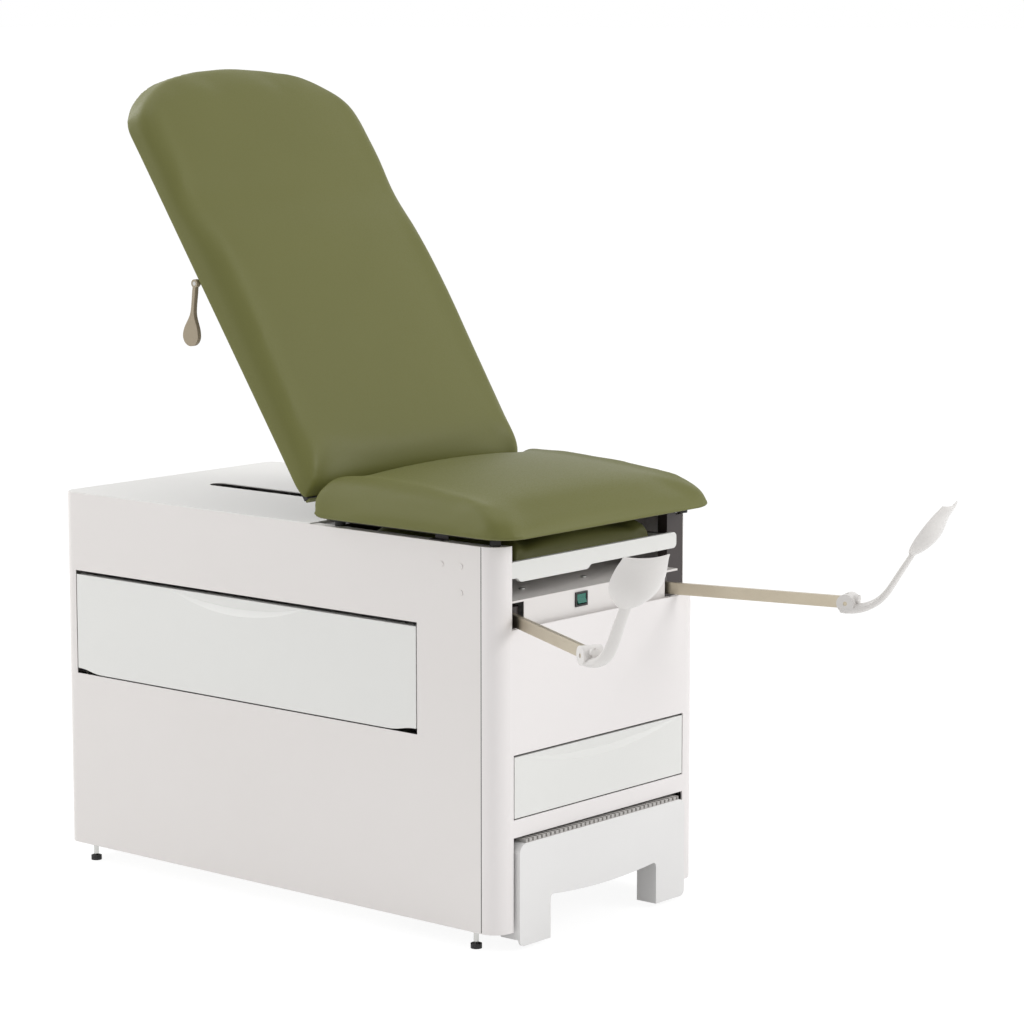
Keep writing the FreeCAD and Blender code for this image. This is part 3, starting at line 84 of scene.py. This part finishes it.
def oliveVinyl():
    # expanded vinyl with an embossed hide grain: soft broad gloss broken up by small pebbles
    made, tree, shader, place = startMaterial("embossed olive vinyl", "#6B6C39", "#656633", 260,
                                               Specular_IOR_Level=0.32)
    pebble = addNode(tree, "TexVoronoi", {"feature": "SMOOTH_F1"}, Vector=place, Scale=1 / (2.6 * mm))
    fold = addNode(tree, "TexNoise", Vector=place, Scale=1 / (7 * mm), Detail=4.0)
    grain = addNode(tree, "Bump", Height=pebble.outputs["Distance"], Strength=0.7, Distance=0.14 * mm)
    hide = addNode(tree, "Bump", Height=fold.outputs["Fac"], Normal=grain.outputs["Normal"],
                   Strength=0.7, Distance=0.16 * mm)
    tree.links.new(hide.outputs["Normal"], shader.inputs["Normal"])
    gloss = addNode(tree, "MapRange", Value=pebble.outputs["Distance"], From_Max=0.8, To_Min=0.44, To_Max=0.58)
    tree.links.new(gloss.outputs["Result"], shader.inputs["Roughness"])
    return made


def powderCoat(name, light, dark):
    # polyester powder on folded sheet: even satin with a faint orange peel
    made, tree, shader, place = startMaterial(name, light, dark, 420, Roughness=0.42)
    peel = addNode(tree, "TexNoise", Vector=place, Scale=1 / (2.2 * mm), Detail=1.5)
    skin = addNode(tree, "Bump", Height=peel.outputs["Fac"], Strength=0.6, Distance=0.03 * mm)
    tree.links.new(skin.outputs["Normal"], shader.inputs["Normal"])
    gloss = addNode(tree, "MapRange", Value=peel.outputs["Fac"], From_Min=0.3, From_Max=0.7,
                    To_Min=0.38, To_Max=0.46)
    tree.links.new(gloss.outputs["Result"], shader.inputs["Roughness"])
    return made


def mouldedPlastic(name, light, dark, roughness, grit, depth):
    # injection moulded, the tool's spark-eroded texture gives a fine even grit
    made, tree, shader, place = startMaterial(name, light, dark, 300, Roughness=roughness, IOR=1.53)
    spark = addNode(tree, "TexNoise", Vector=place, Scale=1 / (grit * mm), Detail=2.0)
    skin = addNode(tree, "Bump", Height=spark.outputs["Fac"], Strength=0.6, Distance=depth * mm)
    tree.links.new(skin.outputs["Normal"], shader.inputs["Normal"])
    gloss = addNode(tree, "MapRange", Value=spark.outputs["Fac"], From_Min=0.3, From_Max=0.7,
                    To_Min=roughness - 0.04, To_Max=roughness + 0.05)
    tree.links.new(gloss.outputs["Result"], shader.inputs["Roughness"])
    return made


def brushedSteel(name, turn):
    # satin nickel on steel flat bar, brushed lengthwise: fine streaks along the bar, drawn at 0.8 mm to show
    made, tree, shader, place = startMaterial(name, "#CFC6B3", "#B9AE9A", 90, Roughness=0.36, Metallic=1.0)
    lane = addNode(tree, "Mapping", Vector=place, Rotation=(0, 0, -turn), Scale=(0.015, 1, 1))
    streak = addNode(tree, "TexNoise", Vector=lane.outputs["Vector"], Scale=1 / (0.8 * mm), Detail=3.0)
    skin = addNode(tree, "Bump", Height=streak.outputs["Fac"], Strength=0.5, Distance=0.03 * mm)
    tree.links.new(skin.outputs["Normal"], shader.inputs["Normal"])
    gloss = addNode(tree, "MapRange", Value=streak.outputs["Fac"], From_Min=0.3, From_Max=0.7,
                    To_Min=0.28, To_Max=0.46)
    tree.links.new(gloss.outputs["Result"], shader.inputs["Roughness"])
    return made


def platedSteel(name, light, dark, roughness, spangle):
    # zinc or chrome plate: a cold metal with a faint cloudiness from the bath
    made, tree, shader, place = startMaterial(name, light, dark, 40, Metallic=1.0)
    cloud = addNode(tree, "TexNoise", Vector=place, Scale=1 / (spangle * mm), Detail=3.0)
    gloss = addNode(tree, "MapRange", Value=cloud.outputs["Fac"], From_Min=0.3, From_Max=0.7,
                    To_Min=roughness - 0.06, To_Max=roughness + 0.08)
    tree.links.new(gloss.outputs["Result"], shader.inputs["Roughness"])
    return made


def stainedBoard():
    # black stained birch ply: dull, with a long open grain across the width
    made, tree, shader, place = startMaterial("black stained plywood", "#242220", "#151413", 120, Roughness=0.62)
    lane = addNode(tree, "Mapping", Vector=place, Scale=(1, 0.06, 1))
    grain = addNode(tree, "TexNoise", Vector=lane.outputs["Vector"], Scale=1 / (2.5 * mm), Detail=5.0)
    skin = addNode(tree, "Bump", Height=grain.outputs["Fac"], Strength=0.7, Distance=0.2 * mm)
    tree.links.new(skin.outputs["Normal"], shader.inputs["Normal"])
    return made


vinyl = oliveVinyl()
sidePaint = powderCoat("warm white powder coat", "#E6E2E0", "#E2DEDB")
deckPaint = powderCoat("white powder coat", "#E9E8E5", "#E5E4E1")
innerPaint = powderCoat("dark brown powder coat", "#3E3635", "#322B2A")
fasciaPlastic = mouldedPlastic("white ABS", "#EDE9E8", "#E9E5E4", 0.38, 0.9, 0.02)
drawerPlastic = mouldedPlastic("pale grey white ABS", "#E6E6E3", "#E1E1DE", 0.36, 0.9, 0.02)
stepPlastic = mouldedPlastic("white polypropylene", "#E9E8E7", "#E4E3E2", 0.36, 0.9, 0.025)
cupPlastic = mouldedPlastic("satin white nylon", "#E1DEDB", "#DAD7D4", 0.3, 0.7, 0.012)
taupe = mouldedPlastic("taupe ABS", "#A3967F", "#998C75", 0.42, 0.8, 0.02)
blackPlastic = mouldedPlastic("black polycarbonate", "#191919", "#111111", 0.4, 0.7, 0.02)
greenPlastic = mouldedPlastic("green polycarbonate", "#14705F", "#0F6253", 0.24, 0.8, 0.008)
rubber = mouldedPlastic("black rubber", "#1C1B1B", "#131212", 0.62, 0.9, 0.05)
treadRubber = mouldedPlastic("grey tread rubber", "#B9B6B3", "#A9A6A3", 0.66, 0.9, 0.05)
zinc = platedSteel("zinc plated steel", "#B4B2AC", "#A3A19A", 0.42, 5)
chrome = platedSteel("chrome plated steel", "#D2D2CF", "#C4C4C1", 0.16, 12)
blackBoard = stainedBoard()
nearSteel = brushedSteel("brushed nickel near arm", math.radians(-28.6))
farSteel = brushedSteel("brushed nickel far arm", math.radians(14.2))

looks = {
    "upholstery": vinyl, "side_paint": sidePaint, "fascia_white": fasciaPlastic, "deck_paint": deckPaint,
    "drawer_white": drawerPlastic, "step_white": stepPlastic, "inner_paint": innerPaint, "galvanised": zinc,
    "bright_steel": chrome, "black_board": blackBoard, "black_rubber": rubber, "tread_rubber": treadRubber,
    "cup_white": cupPlastic, "taupe_plastic": taupe, "switch_black": blackPlastic, "switch_green": greenPlastic,
    "plug_white": sidePaint, "arm_steel": nearSteel,
}
slotOf = {part["node"]: part["material_slot"] for part in frame["record"]["subparts"]}
for name, piece in nodes.items():
    piece.data.materials.clear()
    piece.data.materials.append(looks[slotOf[name]])
nodes["far_stirrup_arm"].data.materials[0] = farSteel
print("stage: materials")


# Softened edges on the rigid solids, in millimetres, where faces meet at more than the sharper angle

edgeWidths = {
    "front_fascia": 1.0, "drawer_side_panel": 0.6, "plain_side_panel": 0.6, "top_deck": 0.6, "rear_panel": 0.5,
    "side_drawer_front": 2.0, "front_drawer_front": 2.0, "step_shell": 2.0, "leg_rest_tray": 1.5,
    "stirrup_housing": 0.8, "near_stirrup_arm": 1.2, "far_stirrup_arm": 1.2, "near_paddle": 3.0, "far_paddle": 3.0,
    "foot_pads": 1.5, "seat_bumpers": 1.5, "foot_stems": 0.6, "switch_bezel": 0.8, "switch_rocker": 0.8,
    "panel_plugs": 0.7, "housing_screws": 0.8, "gas_spring_cylinder": 1.5, "near_hub_cap": 0.8, "far_hub_cap": 0.8,
    "power_inlet": 0.6, "side_drawer_box": 0.8, "front_drawer_box": 0.8, "hinge_brackets": 0.8, "hinge_leaves": 0.8,
    "near_swivel_block": 1.0, "far_swivel_block": 1.0, "strut_clevis": 0.8, "shaft_bearings": 1.0,
    "back_board": 1.5, "seat_board": 1.5,
}
softEdge = {"weld": 0.01, "segments": 3, "sharper": 40}
for name, width in edgeWidths.items():
    piece = nodes[name]
    weld = piece.modifiers.new("weld", "WELD")
    weld.merge_threshold = softEdge["weld"] * mm
    bevel = piece.modifiers.new("bevel", "BEVEL")
    bevel.width = width * mm
    bevel.segments = softEdge["segments"]
    bevel.limit_method = "ANGLE"
    bevel.angle_limit = math.radians(softEdge["sharper"])
    bevel.harden_normals = True
print("stage: edges")


# Cushions: each starts a little small above its rim, is blown up as cloth and keeps its flat underside

backHinge = {"place": (131, 0, 790), "raised": 56}
hinge = Vector(backHinge["place"]) * mm
backTurn = Matrix.Rotation(math.radians(backHinge["raised"]), 4, "Y")
layBackFlat = Matrix.Translation(hinge) @ backTurn.inverted() @ Matrix.Translation(-hinge)

# held is the height of the underside that the cloth is fixed by and firm the height of rim that the last
# smoothing leaves alone, after the round passes that take the corners off
padMaking = {"join": 0.02, "held": 3, "frames": 20, "quality": 5, "round": 4, "firm": 9}

# board is the part of the underside that stands higher than the rim, with its height; heel is how far
# the rear corners, outside the hinges, are pressed back under the rounded end of the back, and less at
# the foot; rise is the height that this gives the rear of the seat and level what it takes off the crown
seatPad = {"name": "seatPad", "node": "seat_cushion", "body": "cabinet", "flat": Matrix(), "rest": 757.5,
           "board": {"rear": 147, "front": 572, "half": 291, "top": 764.2},
           "heel": {"reach": 36, "foot": 757.5, "footShare": 0.3, "low": 786, "high": 824, "inner": 222,
                    "blend": 14, "rear": 140, "run": 44, "rise": 16, "riseRun": 330, "level": 10,
                    "levelHalf": 270},
           "voxel": 6, "shrink": 6, "rim": 26, "cap": 8, "pressure": 4, "even": 26}
backPad = {"name": "backPad", "node": "back_cushion", "body": "backrest", "flat": layBackFlat, "rest": 764,
           "voxel": 6, "shrink": 6, "rim": 26, "cap": 8, "pressure": 4, "even": 26}
legPad = {"name": "legPad", "node": "leg_rest_pad", "body": "leg_rest", "flat": Matrix(), "rest": 691,
          "voxel": 6, "shrink": 5, "rim": 16, "cap": 7, "pressure": 3, "even": 5}


def bakeModifiers(piece):
    solid = bpy.data.meshes.new_from_object(piece.evaluated_get(bpy.context.evaluated_depsgraph_get()))
    piece.modifiers.clear()
    piece.data = solid


def share(value):
    return min(max(value, 0), 1)


def smooth(bm, verts, passes):
    for turn in range(passes):
        bmesh.ops.smooth_vert(bm, verts=verts, factor=0.5, use_axis_x=True, use_axis_y=True, use_axis_z=True)


def blowUp(piece, pad):
    fixed = (pad["rest"] + padMaking["held"]) * mm
    held = piece.vertex_groups.new(name="held")
    held.add([vert.index for vert in piece.data.vertices if vert.co.z < fixed], 1.0, "REPLACE")
    before = [vert.co.copy() for vert in piece.data.vertices]
    cloth = piece.modifiers.new("cloth", "CLOTH")
    cloth.settings.quality = padMaking["quality"]
    cloth.settings.use_pressure = True
    cloth.settings.uniform_pressure_force = pad["pressure"]
    cloth.settings.effector_weights.gravity = 0
    cloth.settings.vertex_group_mass = "held"
    cloth.collision_settings.use_collision = False
    cloth.point_cache.frame_start = 1
    cloth.point_cache.frame_end = padMaking["frames"]
    for at in range(padMaking["frames"]):
        scene.frame_set(at + 1)
    bakeModifiers(piece)
    scene.frame_set(1)
    for vert, start in zip(piece.data.vertices, before):
        move = vert.co - start
        if move.length > pad["cap"] * mm:
            vert.co = start + move.normalized() * pad["cap"] * mm


def pressHeel(verts, heel):
    for vert in verts:
        x, y, z = vert.co / mm
        depth = share((heel["high"] - z) / (heel["high"] - heel["low"]))
        across = share((abs(y) - heel["inner"]) / heel["blend"])
        along = share(1 - (x - heel["rear"]) / heel["run"])
        lift = share((z - heel["foot"]) / (heel["low"] - heel["foot"]))
        under = heel["footShare"] + (1 - heel["footShare"]) * lift
        vert.co.x -= heel["reach"] * depth * under * across * along * mm
        swell = share(1 - (x - heel["rear"]) / heel["riseRun"]) * (1 - depth)
        crown = max(1 - (y / heel["levelHalf"]) ** 2, 0)
        vert.co.z += (heel["rise"] - heel["level"] * crown) * swell * mm


def makePad(pad):
    rest = pad["rest"] * mm
    piece = bpy.data.objects.new(pad["name"], nodes[pad["node"]].data.copy())
    scene.collection.objects.link(piece)
    bm = bmesh.new()
    bm.from_mesh(piece.data)
    bmesh.ops.remove_doubles(bm, verts=bm.verts, dist=padMaking["join"] * mm)
    bmesh.ops.transform(bm, matrix=pad["flat"], verts=bm.verts)
    bm.to_mesh(piece.data)
    bm.free()
    remesh = piece.modifiers.new("remesh", "REMESH")
    remesh.mode = "VOXEL"
    remesh.voxel_size = pad["voxel"] * mm
    bakeModifiers(piece)
    bm = bmesh.new()
    bm.from_mesh(piece.data)
    if "heel" in pad:
        pressHeel(bm.verts, pad["heel"])
    smooth(bm, bm.verts, 1)
    bm.normal_update()
    for vert in bm.verts:
        drawnIn = share((vert.co.z - rest) / (pad["rim"] * mm))
        vert.co -= vert.normal * pad["shrink"] * drawnIn * mm
        vert.co.z = max(vert.co.z, rest)
    bm.to_mesh(piece.data)
    bm.free()
    blowUp(piece, pad)
    bm = bmesh.new()
    bm.from_mesh(piece.data)
    loose = [vert for vert in bm.verts if vert.co.z > rest + padMaking["firm"] * mm]
    smooth(bm, bm.verts, padMaking["round"])
    smooth(bm, loose, pad["even"])
    board = pad.get("board")
    for vert in bm.verts:
        x, y = vert.co.xy / mm
        onBoard = board and board["rear"] < x < board["front"] and abs(y) < board["half"]
        vert.co.z = max(vert.co.z, board["top"] * mm if onBoard else rest)
    bmesh.ops.transform(bm, matrix=pad["flat"].inverted(), verts=bm.verts)
    bmesh.ops.recalc_face_normals(bm, faces=bm.faces)
    for face in bm.faces:
        face.smooth = True
    bm.to_mesh(piece.data)
    bm.free()
    piece.data.materials.clear()
    piece.data.materials.append(vinyl)
    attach(piece, pad["body"])
    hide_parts(pad["node"])
    print("stage:", pad["name"], len(piece.data.polygons), "faces")
    return piece


for pad in (seatPad, backPad, legPad):
    makePad(pad)


# Thin strips: a black strip in the joint between each side panel and the fascia, painted shade that stands in for
# the shadow inside the narrow seam gap there, and the fold of vinyl over the lower end of the back board

# the next two strips paint the shadow of the narrow seam gap between panel and fascia as black rubber
nearSeamShade = {"name": "nearSeamShade", "body": "cabinet", "slot": "black_rubber", "look": rubber, "flat": Matrix(),
            "from": (528.2, -295.15, 38), "to": (529.8, -294.85, 742)}
farSeamShade = {"name": "farSeamShade", "body": "cabinet", "slot": "black_rubber", "look": rubber, "flat": Matrix(),
           "from": (528.2, 294.85, 38), "to": (529.8, 295.15, 544)}
backFold = {"name": "backFold", "body": "backrest", "slot": "upholstery", "look": vinyl, "flat": layBackFlat,
            "from": (115.2, -288, 755), "to": (118.6, 288, 766)}
for strip in (nearSeamShade, farSeamShade, backFold):
    start, end = (Vector(strip[key]) * mm for key in ("from", "to"))
    bm = bmesh.new()
    bmesh.ops.create_cube(bm, size=1)
    bmesh.ops.scale(bm, vec=end - start, verts=bm.verts)
    bmesh.ops.translate(bm, vec=(start + end) / 2, verts=bm.verts)
    bmesh.ops.transform(bm, matrix=strip["flat"].inverted(), verts=bm.verts)
    mesh = bpy.data.meshes.new(strip["name"])
    bm.to_mesh(mesh)
    bm.free()
    mesh.materials.append(strip["look"])
    piece = bpy.data.objects.new(strip["name"], mesh)
    scene.collection.objects.link(piece)
    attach(piece, strip["body"])
print("stage: strips")


# Stage, light and camera

stage = {"reach": 400, "glow": 0.82, "white": 1.12, "level": 0.62}


def backgroundRays(tree):
    # 1 for what is seen straight, in a reflection or through glass, 0 for light that falls on the object
    path = addNode(tree, "LightPath")
    seen = addNode(tree, "Math", {"operation": "MAXIMUM"}, n0=path.outputs["Is Camera Ray"],
                   n1=path.outputs["Is Glossy Ray"])
    return addNode(tree, "Math", {"operation": "MAXIMUM"}, n0=seen.outputs[0],
                   n1=path.outputs["Is Transmission Ray"]).outputs[0]


floorPaper = bpy.data.materials.new("white paper sweep")
floorPaper.use_nodes = True
tree = floorPaper.node_tree
shader = tree.nodes["Principled BSDF"]
shader.inputs["Base Color"].default_value = linear("#FAFAFA")
shader.inputs["Roughness"].default_value = 0.9
shader.inputs["Specular IOR Level"].default_value = 0.0
glow = addNode(tree, "Emission", Color=linear("#FFFFFF"), Strength=stage["white"])
whitened = addNode(tree, "Math", {"operation": "MULTIPLY"}, n0=backgroundRays(tree), n1=stage["glow"])
sweep = addNode(tree, "MixShader", n0=whitened.outputs[0], n1=shader.outputs["BSDF"], n2=glow.outputs["Emission"])
tree.links.new(sweep.outputs["Shader"], tree.nodes["Material Output"].inputs["Surface"])
bm = bmesh.new()
bmesh.ops.create_grid(bm, x_segments=1, y_segments=1, size=stage["reach"])
floorMesh = bpy.data.meshes.new("floor")
bm.to_mesh(floorMesh)
bm.free()
floorMesh.materials.append(floorPaper)
floor = bpy.data.objects.new("floor", floorMesh)
scene.collection.objects.link(floor)

world = bpy.data.worlds.new("studio")
scene.world = world
world.use_nodes = True
tree = world.node_tree
sky = tree.nodes["Background"]
sky.inputs["Color"].default_value = linear("#FFFFFF")
level = addNode(tree, "MapRange", Value=backgroundRays(tree), To_Min=stage["level"], To_Max=1.0)
tree.links.new(level.outputs["Result"], sky.inputs["Strength"])


def softLight(name, place, aim, size, power):
    data = bpy.data.lights.new(name, "AREA")
    data.shape = "DISK"
    data.size = size
    data.energy = power
    lamp = bpy.data.objects.new(name, data)
    scene.collection.objects.link(lamp)
    lamp.location = place
    lamp.rotation_euler = (Vector(aim) - Vector(place)).to_track_quat("-Z", "Y").to_euler()


softLight("keyLight", (5.0, 2.6, 3.4), (0.3, 0, 0.7), 2.8, 122)
softLight("sideLight", (-3.8, -4.2, 3.0), (0, 0, 0.6), 3.0, 62)
softLight("topLight", (-0.4, 0.2, 5.2), (0, 0, 0.8), 2.4, 20)
softLight("rearLight", (-4.4, -0.6, 4.2), (-0.4, 0, 0.75), 2.4, 108)

cameraData = bpy.data.cameras.new("camera")
cameraData.sensor_width = 36
cameraData.lens = 118.78
camera = bpy.data.objects.new("camera", cameraData)
camera.location = (4.4020, -4.7680, 1.6725)
camera.rotation_euler = (math.radians(90 - 8.3364), 0, math.radians(40.354))
scene.collection.objects.link(camera)
scene.camera = camera
scene.view_settings.view_transform = "Standard"
print("stage: camera and light")
